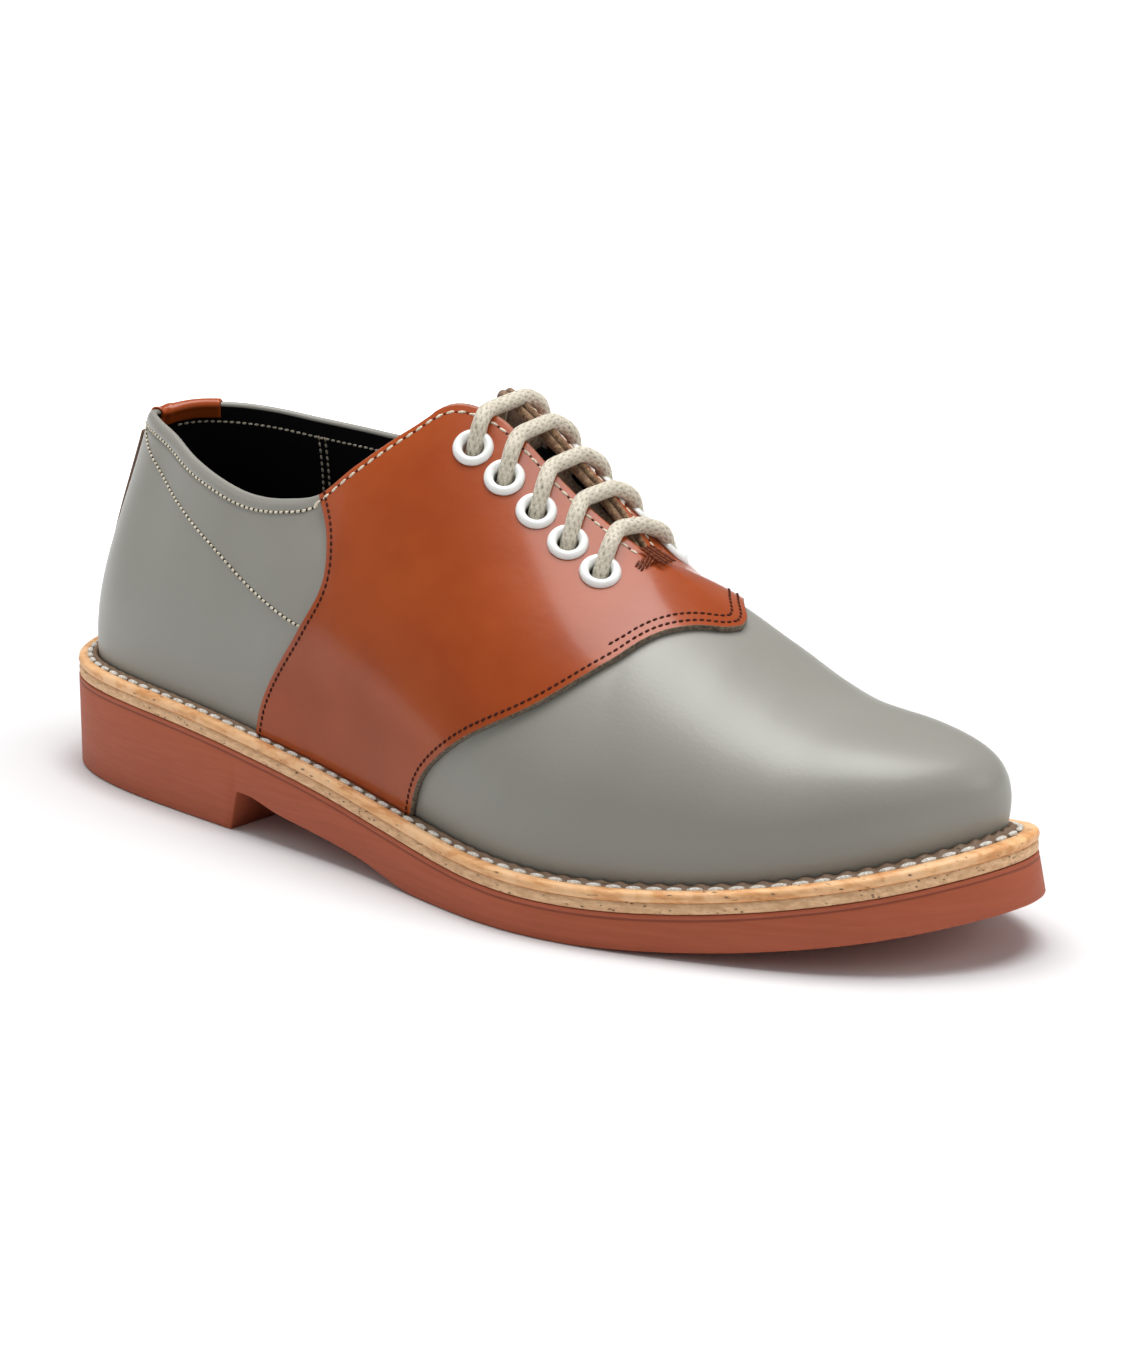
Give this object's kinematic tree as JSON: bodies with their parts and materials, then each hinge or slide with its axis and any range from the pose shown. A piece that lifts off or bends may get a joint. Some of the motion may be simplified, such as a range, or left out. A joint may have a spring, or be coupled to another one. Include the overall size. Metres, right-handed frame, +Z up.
{
  "type": "saddle shoe",
  "caption": "Low laced saddle shoe for the right foot, with a welted sole, low heel, contrast saddle over the instep and eyelets with bar lacing.",
  "frame": {"origin": "on the floor, under the middle of the shoe's bounding box", "axes": "+X from heel to toe, +Y to the inner side of this right shoe, +Z up"},
  "size_m": [0.305, 0.1088, 0.1209],
  "materials": {
    "rubber_sole": "matt",
    "midsole": "pale speckled edge",
    "welt": "natural, undyed",
    "lining": "matt black",
    "grey_leather": "smooth, satin",
    "tan_leather": "polished",
    "tan_tongue": "satin",
    "brown_strip": "satin",
    "lace_cotton": "waxed braid",
    "eyelet_enamel": "gloss enamel"
  },
  "bodies": {
    "root": {"outsole": "rubber_sole", "midsole": "midsole", "welt": "welt", "insole": "lining", "upper": "grey_leather", "saddle": "tan_leather", "tongue": "tan_tongue", "backstrip": "brown_strip", "heel_pull": "tan_leather", "lace": "lace_cotton", "eyelet_outer_1": "eyelet_enamel", "eyelet_outer_2": "eyelet_enamel", "eyelet_outer_3": "eyelet_enamel", "eyelet_outer_4": "eyelet_enamel", "eyelet_outer_5": "eyelet_enamel", "eyelet_inner_1": "eyelet_enamel", "eyelet_inner_2": "eyelet_enamel", "eyelet_inner_3": "eyelet_enamel", "eyelet_inner_4": "eyelet_enamel", "eyelet_inner_5": "eyelet_enamel"}
  },
  "joints": []
}
